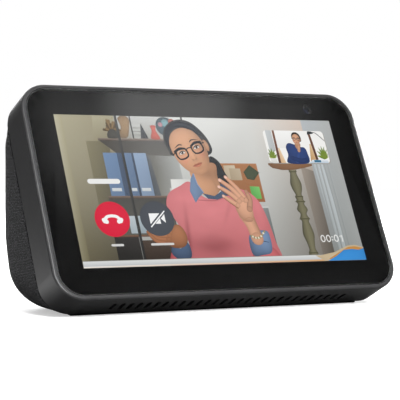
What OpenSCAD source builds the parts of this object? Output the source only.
// Smart display for a desk or a bedside table: a leaning touch screen slab in front of
// a fabric covered wedge that holds the speaker, the boards and the ports.
// Frame: +X to the right, the screen faces -Y, +Z is up. The origin is at the centre
// of the footprint, on the surface that the rubber foot rests on.

/* [Body] */
// Width of the screen slab
body_w = 148.5; // [147.5:0.5:152]
// Height of the screen slab along its own slope
face_h = 86; // [85:0.5:88]
// Depth of the whole object from front to back
body_d = 73; // [72:0.5:76]
// Lean of the screen back from vertical, in degrees
tilt = 25; // [24:0.5:26]
// Thickness of the slab that frames the screen
slab_t = 14.3; // [14:0.1:15]
// Radius of the four outline corners
corner_r = 11; // [10.5:0.5:12.5]
// Wall thickness of the plastic shells
wall = 2; // [1.8:0.1:2.2]
// Radius of the slab's front outer edge
edge_r = 0.9; // [0.3:0.1:1.1]
// Gap between the surface below and the flat base
foot_h = 0.7; // [0.5:0.1:1]

/* [Screen] */
// Width of the cover glass
glass_w = 144.8; // [144.4:0.1:144.9]
// Height of the cover glass
glass_h = 82.8; // [82.4:0.1:82.9]
// Thickness of the cover glass
glass_t = 1.1; // [0.8:0.1:1.2]
// Width of the lit picture area
picture_w = 123.3; // [118:0.1:124]
// Height of the lit picture area
picture_h = 61.6; // [58:0.1:62]
// Distance of the camera from the screen's centre, to the right
camera_x = 52.7; // [50:0.1:54]
// Distance of the camera from the screen's centre, up the slope
camera_u = 35.9; // [35.8:0.1:36.2]

/* [Underside slots] */
// Number of slots in the slab's underside
slot_count = 29; // [9:2:31]
// Distance from one slot to the next
slot_pitch = 3.58; // [3:0.01:3.7]
// Length of a slot across the slab
slot_len = 6; // [4:0.5:7]
// Width of a slot
slot_w = 1.6; // [1.2:0.1:1.8]

/* [Controls] */
// Radius of a push button's cap
button_r = 4; // [3.5:0.1:4.2]
// Distance between the push buttons
button_pitch = 16; // [14:0.5:17]
// How far a push button travels
button_travel = 0.5; // [0.3:0.05:0.5]
// How far the camera shutter slides
shutter_travel = 5; // [4.8:0.1:5.2]

/* [Wedge] */
// Height at which the back reaches furthest
waist_z = 27; // [26:0.5:30]
// Radius by which the back curves in below the waist, front to back
heel_r = 20; // [19:0.5:21]
// Fall-off of the back from the waist up to the slab, 1 is straight
back_power = 1.3; // [1.2:0.05:1.4]
// Radius of the lower side edges behind the slab
side_r = 14; // [13:0.5:17]
// Radius of the upper side edges behind the slab
top_side_r = 20; // [16:0.5:22]
// Squareness of the wedge seen from above, 2 is an ellipse
squareness = 3.8; // [3.4:0.1:4.2]
// Thickness of the fabric cover
fabric_t = 0.75; // [0.6:0.05:0.75]
// Thickness of the rear shell
shell_t = 2; // [1.6:0.1:2]

/* [Speaker] */
// Outer radius of the speaker's frame
driver_r = 20; // [19:0.5:20]
// How far the cone moves each way
cone_travel = 1; // [0.5:0.1:1]

/* [Hidden] */
$fn = 64;
eps = 0.01;

// The slab's lower front edge is the object's most forward line. Its rounding sets the
// edge back a little from the sharp corner that the sizes are counted from.
edge_setback = edge_r * (sin(tilt) + cos(tilt) - 1);
front_y = -body_d / 2 - edge_setback;
lip_z = foot_h + slab_t * sin(tilt);
face_y = front_y + face_h / 2 * sin(tilt);
face_z = lip_z + face_h / 2 * cos(tilt);
seam_y = front_y + slab_t * cos(tilt);
seam_top_z = foot_h + face_h * cos(tilt);

// Layers of the screen, as distances behind the slab's front plane
glass_gap = 0.1;
mask_t = 0.1;
touch_t = 0.4;
lcd_t = 1.2;
light_t = 1.8;
tray_t = 0.3;
mask_n = -glass_t;
touch_n = mask_n - mask_t;
lcd_n = touch_n - touch_t;
light_n = lcd_n - lcd_t;
tray_n = light_n - light_t;
seat_n = -1.5;
ledge_t = 2;
ledge_w = 2;
ledge_n = seat_n - ledge_t;
stack_border = 1.4;
mid_n = -6.9;
mid_t = 1;
board_n = mid_n - mid_t - 1.5;
board_t = 1.2;
flex_t = 0.3;
slot_n = -8.3;

// Controls in the slab's top face
control_n = -8.7;
hole_gap = 0.25;
cap_proud = button_travel + 0.1;
flange_r = button_r + 0.9;
mic_x = 26;
post_x = 34;
knob_l = 12;
knob_w = 4;
knob_sink = 0.8;
stem_l = 4;
stem_w = 1.6;
blade_t = 0.4;
blade_n = -1.7;
arm_u = face_h / 2 - wall - 1.2;
arm_foot_t = 0.7;
lens_hole_r = 2.3;

// Wedge: layer depths counted inward from the fabric's outer face
seam_gap = 0.5;
shell_d = fabric_t + 0.1;
shell_in = shell_d + shell_t;
rows = 30;
columns = 36;
waist_y = -body_d / 2 + body_d - heel_r;

// Speaker: centre of its mounting face, which looks up the back slope
driver_y = front_y + 59.2;
driver_z = 42.3;
driver_tilt = 25;
driver_depth = 17;
box_w = 60;
box_wall = 1.6;
pole_r = 9.4;
coil_r = 9.8;
coil_t = 0.3;
ear_x = 15.6;

// Ports at the foot of the back
port_w = 34;
port_h = 11.5;
port_z = 13.6;
port_y = front_y + 63.5;
io_z = 8;
jack_x = -8;
usb_x = 8;
jack_z = port_z;
jack_r = 2.1;

// Base: screw positions, front pair then back pair
plate_t = 1.9;
base_holes = [for (p = [[50, 24], [36, 44]], side = [-1, 1]) [side * p.x, front_y + p.y]];
boss_top_z = 8;

// Colours
black_glass = "#202020";
slab_black = "#3a3a3b";
trim_black = "#1c1c1d";
fabric_grey = "#3a3a3c";
steel = "#a8abae";
board_green = "#1d4a33";
flex_orange = "#a8702c";
chip_black = "#232325";

// ---------- shared shapes ----------

// Places children on the screen's centre: X right, Y up the slope, Z out of the screen
module on_face() {
  translate([0, face_y, face_z])
    rotate([90 - tilt, 0, 0])
      children();
}

// Places children on the slab's top face: X right, Y towards the screen, Z out
module on_top(x = 0, n = control_n) {
  on_face()
    translate([x, face_h / 2, n])
      rotate([-90, 0, 0])
        mirror([0, 1, 0])
          children();
}

// Places children on the speaker's mounting face: X right, Y down the slope, Z out
module on_back() {
  translate([0, driver_y, driver_z])
    rotate([driver_tilt - 90, 0, 0])
      children();
}

module round_rect(w, h, r) {
  square([w - 2 * r, h], center = true);
  square([w, h - 2 * r], center = true);
  for (x = [-1, 1], y = [-1, 1])
    translate([x * (w / 2 - r), y * (h / 2 - r)])
      circle(r = r);
}

// A plate with rounded corners between two distances along Z
module plate(w, h, r, low, high) {
  translate([0, 0, low])
    linear_extrude(high - low)
      round_rect(w, h, r);
}

// A slab with rounded corners whose front edge is rolled over with radius e
module soft_slab(w, h, r, t, e) {
  plate(w, h, r, -t, -e);
  plate(w - 2 * e, h - 2 * e, r - e, -t, 0);
  for (y = [-1, 1])
    translate([0, y * (h / 2 - e), -e])
      rotate([0, 90, 0])
        cylinder(r = e, h = w - 2 * r, center = true);
  for (x = [-1, 1])
    translate([x * (w / 2 - e), 0, -e])
      rotate([90, 0, 0])
        cylinder(r = e, h = h - 2 * r, center = true);
  for (x = [-1, 1], y = [-1, 1])
    translate([x * (w / 2 - r), y * (h / 2 - r), -e])
      rotate_extrude()
        translate([r - e, 0])
          circle(r = e);
}

// A slot with round ends, cut through along Z
module slot(length, width, depth) {
  cube([length - width, width, depth], center = true);
  for (x = [-1, 1])
    translate([x * (length - width) / 2, 0, 0])
      cylinder(r = width / 2, h = depth, center = true);
}

// A pan head screw that points down -Z from the face it clamps
module screw(r, length, head_r = 1.6, head_h = 0.9) {
  difference() {
    cylinder(r = head_r, h = head_h);
    translate([0, 0, head_h])
      cube([head_r, 0.35, 0.8], center = true);
    translate([0, 0, head_h])
      cube([0.35, head_r, 0.8], center = true);
  }
  translate([0, 0, -length])
    cylinder(r = r, h = length + eps);
}

// A round wire through a list of points, with its straight stretches lapped at the bends
module wire(points, r) {
  for (i = [0:len(points) - 2]) {
    step = points[i + 1] - points[i];
    length = norm(step);
    translate(points[i])
      rotate([0, acos(step.z / length), atan2(step.y, step.x)])
        cylinder(r = r, h = length + 0.6 * r);
  }
}

// ---------- the wedge's surface ----------

// Y of the seam plane behind the slab at height z, with a step back behind it
function seam_at(z, back) = seam_y + back / cos(tilt) + (z - foot_h) * tan(tilt);

// Y of the back's centre line at height z, moved inward by d
function back_at(z, d) =
  z < waist_z
  ? waist_y + (heel_r - d) * sqrt(max(0, 1 - pow((waist_z - z) / (waist_z - foot_h - d), 2)))
  : let (q = (z - waist_z) / (seam_top_z - waist_z),
         rise = waist_y + heel_r - seam_at(seam_top_z, 0))
    waist_y + heel_r - d * (1 + 0.16 * min(1, 3 * q)) - rise * pow(q, back_power);

// Half width at height z and at share s of the way back, moved inward by d
function half_at(z, s, d) =
  let (k = min(1, s / 0.3),
       u = (z - foot_h) / cos(tilt) - face_h,
       r_up = corner_r + (top_side_r - corner_r) * k,
       r_top = r_up - d,
       top = r_top - sqrt(max(0, r_top * r_top - pow(max(0, u + r_up), 2))),
       r_side = corner_r + (side_r - corner_r) * k - d,
       r_rise = (corner_r + (side_r - corner_r) * k) * (cos(tilt) + (1 - cos(tilt)) * k) - d,
       fall = min(1, max(0, 1 - (z - foot_h - d) / r_rise)),
       low = r_side * (1 - sqrt(1 - fall * fall)))
  body_w / 2 - d - top - low;

// Height of the top edge of the surface that lies d inside
function top_at(d, back) =
  let (slope = back_power * (waist_y + heel_r - seam_at(seam_top_z, 0)) / (seam_top_z - waist_z))
  seam_top_z - max(d, d * 1.16 + back / cos(tilt)) / (slope + tan(tilt)) - 0.5 * d;

function wedge_point(i, j, d, back) =
  let (low = foot_h + d,
       high = top_at(d, back),
       z = low + (high - low) * (1 - cos(180 * i / rows)) / 2,
       a = 180 * j / columns,
       s = pow(sin(a), 2 / squareness),
       x = half_at(z, s, d) * sign(cos(a)) * pow(abs(cos(a)), 2 / squareness),
       y0 = seam_at(z, back))
  [x, y0 + max(0.02, back_at(z, d) - y0) * s, z];

// A skin between depths d0 and d1 that is open to the slab and at its base
module wedge_skin(d0, d1, back) {
  n = columns + 1;
  m = (rows + 1) * n;
  outer = [for (i = [0:rows], j = [0:columns]) wedge_point(i, j, d0, back)];
  inner = [for (i = [0:rows], j = [0:columns]) wedge_point(i, j, d1, back)];
  sheets = [
    for (i = [0:rows - 1], j = [0:columns - 1])
      let (a = i * n + j, b = a + 1, c = a + n + 1, e = a + n)
      each [[a, e, b], [b, e, c], [m + a, m + b, m + e], [m + b, m + c, m + e]]
  ];
  rim_rows = [
    for (j = [0:columns - 1])
      let (a = j, b = j + 1, c = rows * n + j, e = c + 1)
      each [[a, b, m + a], [b, m + b, m + a], [c, m + c, e], [e, m + c, m + e]]
  ];
  rim_columns = [
    for (i = [0:rows - 1])
      let (a = i * n, b = a + n, c = a + columns, e = c + n)
      each [[a, m + a, b], [b, m + a, m + b], [c, e, m + c], [e, m + e, m + c]]
  ];
  polyhedron(concat(outer, inner), concat(sheets, rim_rows, rim_columns));
}

// The opening for the ports, from inside the wedge to beyond its back
module port_opening(margin, from_y, to_y) {
  translate([0, to_y, port_z])
    rotate([90, 0, 0])
      linear_extrude(to_y - from_y)
        round_rect(port_w + 2 * margin, port_h + 2 * margin, 2 + margin);
}

// ---------- screen ----------

module cover_glass() {
  color(black_glass)
    on_face()
      soft_slab(glass_w, glass_h, corner_r - 1.6, glass_t, 0.3);
}

module border_mask() {
  color("black")
    on_face()
      difference() {
        plate(glass_w - 0.6, glass_h - 0.6, corner_r - 1.9, mask_n - mask_t, mask_n);
        translate([0, 0, mask_n])
          cube([picture_w, picture_h, 1], center = true);
        translate([camera_x, camera_u, mask_n])
          cylinder(r = lens_hole_r, h = 1, center = true);
      }
}

module glass_adhesive() {
  color("dimgray")
    on_face()
      difference() {
        plate(glass_w - 0.8, glass_h - 0.8, corner_r - 2, seat_n, mask_n - mask_t);
        plate(glass_w - 3.2, glass_h - 3.2, corner_r - 3.2, seat_n - 1, 0);
      }
}

module screen_layer(border, near, thickness) {
  on_face()
    translate([0, 0, near - thickness / 2])
      cube([picture_w + 2 * border, picture_h + 2 * border, thickness], center = true);
}

module touch_panel() {
  color("lightsteelblue")
    screen_layer(stack_border, touch_n, touch_t);
}

module lcd_panel() {
  color("slategray")
    screen_layer(stack_border, lcd_n, lcd_t);
}

module backlight_unit() {
  color("white")
    screen_layer(stack_border - 0.4, light_n, light_t);
}

// Pressed steel tray that holds the backlight
module display_frame() {
  color(steel)
    on_face()
      difference() {
        translate([0, 0, (light_n + tray_n - tray_t) / 2])
          cube([picture_w + 2 * stack_border, picture_h + 2 * stack_border,
                light_t + tray_t], center = true);
        translate([0, 0, light_n - light_t / 2 + 0.5])
          cube([picture_w + 2 * stack_border - 0.8, picture_h + 2 * stack_border - 0.8,
                light_t + 1], center = true);
      }
}

// ---------- slab ----------

module front_housing() {
  inner_w = body_w - 2 * wall;
  inner_h = face_h - 2 * wall;
  color(slab_black)
    difference() {
      union() {
        on_face()
          difference() {
            soft_slab(body_w, face_h, corner_r, slab_t, edge_r);
            plate(glass_w + 2 * glass_gap, glass_h + 2 * glass_gap, corner_r - 1.5, seat_n, 1);
            plate(inner_w - 2 * ledge_w, inner_h - 2 * ledge_w, corner_r - wall - ledge_w,
                  -slab_t - 1, 1);
            plate(inner_w, inner_h, corner_r - wall, -slab_t - 1, ledge_n);
          }
        mid_frame_bosses();
        button_board_posts();
      }
      underside_slots();
      control_holes();
    }
}

// Four bosses behind the ledge that the mid frame is screwed to
module mid_frame_bosses() {
  on_face()
    for (x = [-1, 1], y = [-1, 1])
      translate([x * (body_w / 2 - 5), y * 26, mid_n])
        difference() {
          cylinder(r = 3.4, h = ledge_n - mid_n + 0.5);
          translate([0, 0, -1])
            cylinder(r = 0.8, h = 4);
        }
}

module button_board_posts() {
  for (x = [-1, 1])
    on_top(x * post_x)
      difference() {
        translate([0, 0, -7.5 + 1])
          cylinder(r = 2, h = 7.5 - 1 - wall + 0.5);
        translate([0, 0, -7.5])
          cylinder(r = 0.7, h = 4);
      }
}

module underside_slots() {
  on_face()
    for (i = [0:slot_count - 1])
      translate([(i - (slot_count - 1) / 2) * slot_pitch + 0.7, -face_h / 2, slot_n])
        rotate([90, 0, 0])
          rotate([0, 0, 90])
            slot(slot_len, slot_w, 3 * wall);
}

module control_holes() {
  for (i = [-1:1])
    on_top(i * button_pitch)
      cylinder(r = button_r + hole_gap, h = 3 * wall, center = true);
  for (x = [-1, 1])
    on_top(x * mic_x)
      cylinder(r = 0.6, h = 3 * wall, center = true);
  track_x = camera_x - shutter_travel / 2;
  on_top(track_x) {
    slot(knob_l + shutter_travel + 1, knob_w + 0.8, 2 * knob_sink);
    cube([stem_l + shutter_travel + 0.8, stem_w + 0.8, 3 * wall], center = true);
  }
  // Room behind the ledge for the arm between the slider and the blade
  on_face()
    translate([track_x, face_h / 2 - wall - ledge_w / 2, seat_n - ledge_t / 2])
      cube([stem_l + shutter_travel + 3, ledge_w + 2 * eps, ledge_t + 1], center = true);
}

// ---------- camera and shutter ----------

module camera_module() {
  color(chip_black)
    on_face()
      translate([camera_x, camera_u, 0]) {
        translate([0, 0, -4.6])
          cube([6, 6, 2.4], center = true);
        difference() {
          translate([0, 0, -3.5])
            cylinder(r = 2.6, h = 1.1);
          translate([0, 0, -3.2])
            cylinder(r = 1.5, h = 2);
        }
      }
}

// Small domed lens in the mouth of the camera's barrel
module camera_lens() {
  color("#2b3550")
    on_face()
      translate([camera_x, camera_u, -3.2])
        rotate_extrude()
          intersection() {
            translate([0, -1.7])
              circle(r = 2.2);
            square([1.49, 3]);
          }
}

module light_sensor() {
  color(chip_black)
    on_face()
      translate([camera_x - 14, camera_u, touch_n - 0.6])
        cube([3, 1.8, 1], center = true);
}

// Thumb slider that sits in its track on the top face, in the open position
module shutter_slider() {
  stem_h = face_h / 2 - arm_u - arm_foot_t;
  color(trim_black)
    on_top(camera_x - shutter_travel)
      difference() {
        union() {
          translate([0, 0, 0.05])
            slot(knob_l, knob_w, 2 * knob_sink - 0.1);
          translate([0, 0, -stem_h / 2])
            cube([stem_l, stem_w, stem_h], center = true);
        }
        for (x = [-3:1:3])
          translate([x, 0, knob_sink])
            cube([0.4, knob_w - 1.6, 0.4], center = true);
      }
}

// Bent strip that the slider carries in front of the camera
module shutter_blade() {
  blade_l = 2 * lens_hole_r + 0.2;
  low_u = camera_u - lens_hole_r - 0.1;
  front_n = blade_n + blade_t / 2;
  rear_n = control_n - stem_w / 2;
  color("gainsboro")
    on_face()
      translate([camera_x - shutter_travel, 0, 0]) {
        translate([0, (arm_u + low_u) / 2, blade_n])
          cube([blade_l, arm_u - low_u, blade_t], center = true);
        translate([0, arm_u - blade_t / 2, (front_n + rear_n) / 2])
          cube([stem_l, blade_t, front_n - rear_n], center = true);
        translate([0, arm_u + (arm_foot_t - blade_t) / 2, control_n])
          cube([stem_l, arm_foot_t + blade_t, stem_w], center = true);
      }
}

// ---------- push buttons ----------

// A round cap with a retaining flange, a stem and a raised or sunk mark
module push_button(x) {
  on_top(x)
    difference() {
      union() {
        translate([0, 0, cap_proud - 0.3])
          cylinder(r1 = button_r, r2 = button_r - 0.3, h = 0.3);
        translate([0, 0, -wall - 0.5])
          cylinder(r = button_r, h = wall + 0.5 + cap_proud - 0.3);
        translate([0, 0, -wall - 0.85])
          cylinder(r = flange_r, h = 0.8);
        translate([0, 0, -3.9])
          cylinder(r = 1.5, h = 1.5);
      }
      children();
    }
}

module mark_bar(length, width = 0.55) {
  translate([0, 0, cap_proud])
    cube([length, width, 0.3], center = true);
}

module volume_up_button() {
  color(trim_black)
    push_button(button_pitch) {
      mark_bar(3.2);
      rotate([0, 0, 90])
        mark_bar(3.2);
    }
}

module volume_down_button() {
  color(trim_black)
    push_button(0)
      mark_bar(3.2);
}

module mic_mute_button() {
  color(trim_black)
    push_button(-button_pitch) {
      difference() {
        translate([0, 0, cap_proud - 0.15])
          cylinder(r = 1.8, h = 0.3);
        cylinder(r = 1.3, h = 3);
      }
      rotate([0, 0, 45])
        mark_bar(3.4, 0.45);
    }
}

module button_board() {
  color(board_green)
    on_top()
      difference() {
        translate([0, 0, -7])
          cube([2 * post_x + 8, 8, 1], center = true);
        for (x = [-1, 1])
          translate([x * post_x, 0, -8])
            cylinder(r = 0.9, h = 2);
      }
}

module button_switches() {
  color(steel)
    for (i = [-1:1])
      on_top(i * button_pitch) {
        translate([0, 0, -5.7])
          cube([4.5, 4.5, 1.6], center = true);
        translate([0, 0, -5])
          cylinder(r = 1, h = 0.5);
      }
}

module microphones() {
  color(steel)
    for (x = [-1, 1])
      on_top(x * mic_x)
        difference() {
          translate([0, 0, -6])
            cube([3.5, 2.65, 1], center = true);
          translate([0, 0, -5.9])
            cylinder(r = 0.4, h = 1);
        }
}

module mic_gaskets() {
  color("dimgray")
    for (x = [-1, 1])
      on_top(x * mic_x)
        difference() {
          translate([0, 0, -5.5])
            cylinder(r = 2, h = 5.5 - wall);
          translate([0, 0, -6])
            cylinder(r = 0.6, h = 5);
        }
}

module button_board_screws() {
  color(steel)
    for (x = [-1, 1])
      on_top(x * post_x)
        translate([0, 0, -7.5])
          mirror([0, 0, 1])
            screw(0.65, 3);
}

// ---------- boards behind the screen ----------

module mid_frame() {
  top_u = 33;
  low_u = face_h / 2 - wall - 0.6;
  color(steel)
    on_face()
      difference() {
        union() {
          translate([0, (top_u - low_u) / 2, 0])
            plate(body_w - 2 * wall - 1.2, top_u + low_u, 8, mid_n - mid_t, mid_n);
          for (p = board_corners())
            translate([p.x, p.y, board_n])
              cylinder(r = 2, h = mid_n - board_n - 0.5);
        }
        for (x = [-1, 1], y = [-1, 1])
          translate([x * (body_w / 2 - 5), y * 26, mid_n - 2])
            cylinder(r = 1, h = 3);
        for (p = board_corners())
          translate([p.x, p.y, board_n - 1])
            cylinder(r = 0.7, h = 3.4);
        translate([-50, 20, mid_n])
          cube([16, 3, 4], center = true);
      }
}

function board_corners() = [for (x = [-41, 31], y = [-28, 16]) [x, y]];

module mid_frame_screws() {
  color(steel)
    on_face()
      for (x = [-1, 1], y = [-1, 1])
        translate([x * (body_w / 2 - 5), y * 26, mid_n - mid_t])
          mirror([0, 0, 1])
            screw(0.75, 3.5);
}

module main_board() {
  color(board_green)
    on_face()
      difference() {
        translate([-5, -6, board_n - board_t / 2])
          cube([80, 52, board_t], center = true);
        for (p = board_corners())
          translate([p.x, p.y, board_n - 2])
            cylinder(r = 0.8, h = 3);
      }
}

// Connectors, memory, wireless module and converters on the board's back
module board_chips() {
  chips = [
    [-30, 10, 8, 12, 1], [-30, -8, 10, 10, 1.2], [-14, -26, 14, 4, 2],
    [12, -26, 14, 4, 2], [28, 2, 7, 9, 1.4], [28, -14, 6, 6, 1.8], [-14, 16, 12, 3, 1.6]
  ];
  color(chip_black)
    on_face()
      for (c = chips)
        translate([c[0], c[1], board_n - board_t - c[4] / 2])
          cube([c[2], c[3], c[4]], center = true);
}

module shield_can() {
  color("silver")
    on_face()
      translate([4, -6, board_n - board_t - 1])
        difference() {
          cube([30, 28, 2], center = true);
          translate([0, 0, 0.3])
            cube([29.4, 27.4, 2], center = true);
        }
}

module heat_spreader() {
  color("gainsboro")
    on_face()
      translate([4, -6, board_n - board_t - 2.6])
        cube([38, 30, 1.2], center = true);
}

module main_board_screws() {
  color(steel)
    on_face()
      for (p = board_corners())
        translate([p.x, p.y, board_n - board_t])
          mirror([0, 0, 1])
            screw(0.65, 2.8);
}

// Flat cable from the screen through the mid frame's slot to the board
module display_flex() {
  color(flex_orange)
    on_face() {
      translate([-51, 20, (tray_n - tray_t + board_n - board_t - 0.4) / 2])
        cube([10, flex_t, tray_n - tray_t - board_n + board_t + 0.4], center = true);
      translate([-47, 20, board_n - board_t - 0.35])
        cube([6, 6, flex_t], center = true);
    }
}

module button_flex() {
  color(flex_orange)
    on_face()
      translate([-14, 27.5, board_n - board_t - flex_t / 2 - 0.02])
        cube([8, 16, flex_t], center = true);
}

module camera_flex() {
  color(flex_orange)
    on_face()
      translate([camera_x, camera_u - 5, -6.1])
        cube([4, 10, flex_t], center = true);
}

module wifi_antennas() {
  color("goldenrod")
    on_face()
      for (x = [-1, 1])
        translate([x * (body_w / 2 - wall - 0.3), 4, -11.5])
          cube([0.6, 30, 5], center = true);
}

// ---------- ports ----------

module io_board() {
  color(board_green)
    difference() {
      translate([0, port_y - 10, io_z + 0.6])
        cube([38, 18, 1.2], center = true);
      for (x = [-1, 1])
        translate([x * 15, port_y - 15, io_z - 1])
          cylinder(r = 0.9, h = 4);
    }
}

// Barrel jack with its centre pin, open to the back
module power_jack() {
  color(chip_black)
    difference() {
      translate([jack_x, port_y - 7, jack_z - 0.2])
        cube([9, 13.8, 8.4], center = true);
      translate([jack_x, port_y + 1, jack_z])
        rotate([90, 0, 0])
          cylinder(r = jack_r, h = 11);
    }
  color(steel)
    translate([jack_x, port_y - 1, jack_z])
      rotate([90, 0, 0])
        cylinder(r = 0.8, h = 9.5);
}

module micro_usb_port() {
  color(steel)
    translate([usb_x, port_y - 3, io_z + 1.2 + 1.4]) {
      difference() {
        cube([7.5, 5.6, 2.8], center = true);
        translate([0, 0.6, 0])
          cube([6.9, 5.6, 2.2], center = true);
      }
      translate([0, -0.4, 0.2])
        cube([5, 4, 0.6], center = true);
    }
}

// Moulded tray that lines the opening in the back
module port_panel() {
  lean = 23;
  color(trim_black)
    difference() {
      port_opening(-0.1, port_y, port_y + 8);
      port_opening(-1.2, port_y + 1.4, port_y + 9);
      translate([jack_x, port_y + 3, jack_z])
        rotate([90, 0, 0])
          cylinder(r = 2.9, h = 4);
      translate([usb_x, port_y, io_z + 2.6])
        cube([8.6, 6, 3.6], center = true);
      translate([0, front_y + 69.7, port_z])
        rotate([-lean, 0, 0])
          translate([0, 5, 0])
            cube([60, 10, 40], center = true);
    }
}

module io_board_screws() {
  color(steel)
    for (x = [-1, 1])
      translate([x * 15, port_y - 15, io_z + 1.2])
        screw(0.75, 4);
}

// ---------- speaker ----------

// Side view of the sealed box: y, z from the front edge
function box_outline() =
  let (up = 22 * [-sin(driver_tilt), cos(driver_tilt)], c = [driver_y, driver_z])
  [c + up, c - up, [front_y + 60, 19.8], [front_y + 26, 19.8], [front_y + 42.5, 59.4]];

module speaker_enclosure() {
  color(trim_black)
    difference() {
      translate([-box_w / 2, 0, 0])
        rotate([90, 0, 90])
          linear_extrude(box_w)
            polygon(box_outline());
      translate([-box_w / 2 + box_wall, 0, 0])
        rotate([90, 0, 90])
          linear_extrude(box_w - 2 * box_wall)
            offset(delta = -box_wall)
              polygon(box_outline());
      on_back()
        cylinder(r = driver_r - 2.2, h = 6, center = true);
      for (x = [-1, 1], y = [-1, 1])
        on_back()
          translate([x * ear_x, y * ear_x, 0])
            cylinder(r = 0.8, h = 6, center = true);
    }
}

module ring(r_in, r_out, low, high) {
  difference() {
    translate([0, 0, low])
      cylinder(r = r_out, h = high - low);
    translate([0, 0, low - 1])
      cylinder(r = r_in, h = high - low + 2);
  }
}

// Pressed frame: a flange with four ears, then a bowl with windows down to the magnet
module speaker_basket() {
  color(steel)
    on_back()
      difference() {
        union() {
          rotate_extrude()
            polygon([[driver_r, 0.05], [driver_r, 0.85], [driver_r - 3.6, 0.85],
                     [driver_r - 3.8, -7.33], [14.4, -7.33], [14.4, -8], [11, -8],
                     [11, -8.6], [15, -8.6], [16.8, -7.8], [driver_r - 2.8, 0.05]]);
          for (x = [-1, 1], y = [-1, 1])
            translate([x * ear_x, y * ear_x, 0.05])
              cylinder(r = 3.2, h = 0.8);
        }
        for (x = [-1, 1], y = [-1, 1])
          translate([x * ear_x, y * ear_x, -1])
            cylinder(r = 0.9, h = 3);
        for (a = [0:60:179])
          rotate([0, 0, a])
            translate([0, 0, -4.4])
              cube([50, 7, 3.4], center = true);
      }
}

module speaker_yoke() {
  color(steel)
    on_back() {
      translate([0, 0, -driver_depth])
        cylinder(r = 12, h = 2);
      translate([0, 0, -driver_depth + 2 - eps])
        cylinder(r = pole_r, h = driver_depth - 2 - 8.2);
    }
}

module speaker_magnet() {
  color("#3c3c40")
    on_back()
      ring(10.8, 12.6, -driver_depth + 2.02, -10.15);
}

module speaker_top_plate() {
  color(steel)
    on_back()
      ring(10.5, 12.4, -10.13, -8.62);
}

module speaker_cone() {
  edge = driver_r - 5;
  color("#2a2a2b")
    on_back()
      rotate_extrude()
        polygon([[coil_r, -6.2], [coil_r + 0.5, -6.2], [edge - 0.8, 0.45], [edge, 0.45],
                 [edge, 0.85], [edge - 1.1, 0.85], [coil_r, -5.6]]);
}

module speaker_dust_cap() {
  color("#222223")
    on_back()
      rotate_extrude()
        polygon([[0, -2.8], [4, -3.2], [7.4, -4.4], [coil_r + 0.35, -4.95],
                 [7.2, -4.75], [4, -3.6], [0, -3.2]]);
}

module voice_coil() {
  color("#b5652a")
    on_back()
      ring(coil_r, coil_r + coil_t, -12, -6.22);
}

// Half-roll edge between the cone and the basket
module speaker_surround() {
  roll_r = cone_travel + 0.5;
  roll_x = driver_r - 3.55;
  foot_t = 0.33;
  foot_in = driver_r - 5.9;
  foot_out = driver_r - 0.2;
  color("#1a1a1b")
    on_back()
      translate([0, 0, 0.87])
        rotate_extrude() {
          intersection() {
            translate([roll_x, 0])
              difference() {
                circle(r = roll_r);
                circle(r = roll_r - foot_t);
              }
            translate([roll_x - roll_r - 1, 0])
              square([2 * roll_r + 2, roll_r + 1]);
          }
          translate([foot_in, 0])
            square([roll_x - roll_r + 0.15 - foot_in, foot_t]);
          translate([roll_x + roll_r - 0.15, 0])
            square([foot_out - roll_x - roll_r + 0.15, foot_t]);
        }
}

// Corrugated disc that centres the coil
module speaker_spider() {
  color("#8a6a2e")
    on_back()
      ring(coil_r + coil_t + 0.02, driver_r - 3.9, -7.31, -6.95);
}

module speaker_gasket() {
  color("dimgray")
    on_back()
      ring(driver_r - 1.9, driver_r, 1.22, 2.2);
}

module speaker_screws() {
  color(steel)
    on_back()
      for (x = [-1, 1], y = [-1, 1])
        translate([x * ear_x, y * ear_x, 0.86])
          screw(0.75, 4);
}

// Twin lead from the speaker box to the main board
module speaker_wires() {
  route = [[31.2, front_y + 46, 30], [36, front_y + 44, 30],
           [38, front_y + 31, 34], [33, front_y + 27.4, 38]];
  color("firebrick")
    for (gap = [0, 1.6])
      translate(gap * [0, sin(tilt), cos(tilt)])
        wire(route, 0.5);
}

// ---------- rear ----------

// Screw bosses for the base plate, each tied to the shell by a rib that ends in its wall
module base_bosses() {
  z = boss_top_z - 1;
  mid_wall = shell_d + shell_t / 2;
  for (p = base_holes) {
    side = sign(p.x);
    half = half_at(z, 0.2, mid_wall);
    reach = seam_at(z, 0) + (back_at(z, mid_wall) - seam_at(z, 0))
      * pow(1 - pow(abs(p.x) / half, squareness), 1 / squareness);
    translate([p.x, p.y, foot_h + plate_t + 0.1])
      difference() {
        cylinder(r = 2.8, h = boss_top_z - foot_h - plate_t - 0.1);
        translate([0, 0, -1])
          cylinder(r = 1, h = 6.3);
      }
    if (abs(p.x) > 40)
      translate([side * (abs(p.x) + 2), p.y - 0.6, z - 1])
        mirror([side < 0 ? 1 : 0, 0, 0])
          cube([half - abs(p.x) - 2, 1.2, 2]);
    else
      translate([p.x - 0.6, p.y + 2, z - 1])
        cube([1.2, reach - p.y - 2, 2]);
  }
}

// Plastic shell of the wedge, with sound slots in its slope and the ports' opening
module rear_shell() {
  color(trim_black)
    difference() {
      union() {
        wedge_skin(shell_d, shell_in, 0);
        base_bosses();
      }
      port_opening(0, front_y + 58, front_y + 80);
      on_back()
        for (i = [-5:5])
          translate([i * 3.4, 0, 6])
            cube([1.6, 2 * sqrt(18 * 18 - pow(i * 3.4, 2)) - 4, 24], center = true);
    }
}

module fabric_cover() {
  color(fabric_grey)
    difference() {
      wedge_skin(0, fabric_t, seam_gap);
      port_opening(0, front_y + 58, front_y + 80);
    }
}

// ---------- base ----------

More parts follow.
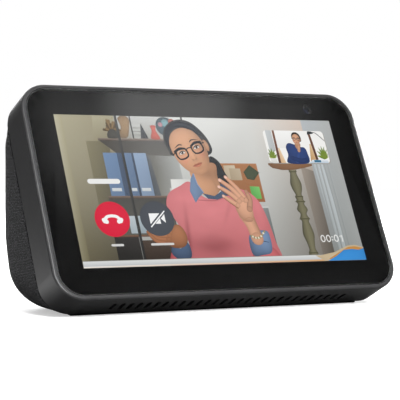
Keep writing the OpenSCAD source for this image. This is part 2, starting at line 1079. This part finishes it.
// The flat footprint that the wedge's skins end on, set in by a clearance
module base_outline(inset, front) {
  edge = [for (j = [0:columns]) wedge_point(0, j, shell_in, 0)];
  intersection() {
    offset(delta = -inset)
      polygon([for (p = edge) [p.x, p.y]]);
    translate([-body_w / 2, front])
      square([body_w, body_d]);
  }
}

module base_plate() {
  color(trim_black)
    difference() {
      union() {
        translate([0, 0, foot_h])
          linear_extrude(plate_t)
            base_outline(0.4, seam_y + 1);
        for (x = [-1, 1])
          translate([x * 15, port_y - 15, foot_h])
            cylinder(r = 2.2, h = io_z - foot_h - 0.02);
      }
      for (p = base_holes)
        translate([p.x, p.y, foot_h - 1]) {
          cylinder(r = 1.2, h = 4);
          cylinder(r = 2.2, h = 2);
        }
      for (x = [-1, 1])
        translate([x * 15, port_y - 15, foot_h + 3])
          cylinder(r = 0.8, h = 6);
    }
}

module base_screws() {
  color(steel)
    for (p = base_holes)
      translate([p.x, p.y, foot_h + 1])
        mirror([0, 0, 1])
          screw(0.95, 5.2, 1.9, 0.95);
}

// Thin non-slip sheet under the base plate
module rubber_foot() {
  color("#161616")
    linear_extrude(foot_h)
      base_outline(0.5, seam_y + 0.3);
}

cover_glass();
border_mask();
glass_adhesive();
touch_panel();
lcd_panel();
backlight_unit();
display_frame();
front_housing();
camera_module();
camera_lens();
light_sensor();
shutter_slider();
shutter_blade();
volume_up_button();
volume_down_button();
mic_mute_button();
button_board();
button_switches();
microphones();
mic_gaskets();
button_board_screws();
mid_frame();
mid_frame_screws();
main_board();
board_chips();
shield_can();
heat_spreader();
main_board_screws();
display_flex();
button_flex();
camera_flex();
wifi_antennas();
io_board();
power_jack();
micro_usb_port();
port_panel();
io_board_screws();
speaker_enclosure();
speaker_basket();
speaker_yoke();
speaker_magnet();
speaker_top_plate();
speaker_cone();
speaker_dust_cap();
voice_coil();
speaker_surround();
speaker_spider();
speaker_gasket();
speaker_screws();
speaker_wires();
rear_shell();
fabric_cover();
base_plate();
base_screws();
rubber_foot();
